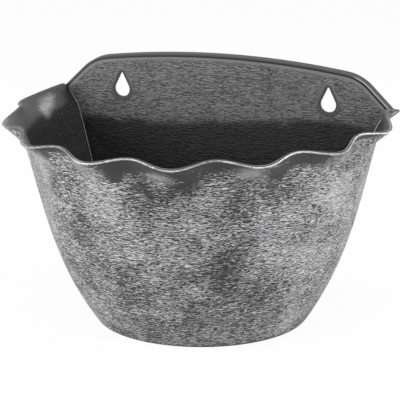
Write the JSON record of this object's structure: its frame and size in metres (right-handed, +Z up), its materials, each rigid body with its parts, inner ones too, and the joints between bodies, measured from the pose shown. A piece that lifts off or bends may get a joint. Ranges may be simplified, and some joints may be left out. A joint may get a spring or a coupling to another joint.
{
  "type": "wall planter",
  "caption": "Half-round wall planter with a flared, ruffled rim, set around a flat crowned back plate with teardrop hanging holes, in silver-brushed embossed dark plastic.",
  "frame": {"origin": "on the ground under the middle of the whole planter's outline", "axes": "+X to the right seen from the front, +Y towards the wall, +Z up"},
  "size_m": [0.3046, 0.2284, 0.1976],
  "materials": {
    "silvered_plastic": "dark grey plastic with a fine wavy embossed grain, dry-brushed with silver paint",
    "dark_plastic": "dark grey satin plastic with a fine wavy embossed grain"
  },
  "bodies": {
    "root": {"bowl": "silvered_plastic", "back_plate": "dark_plastic"}
  },
  "joints": []
}
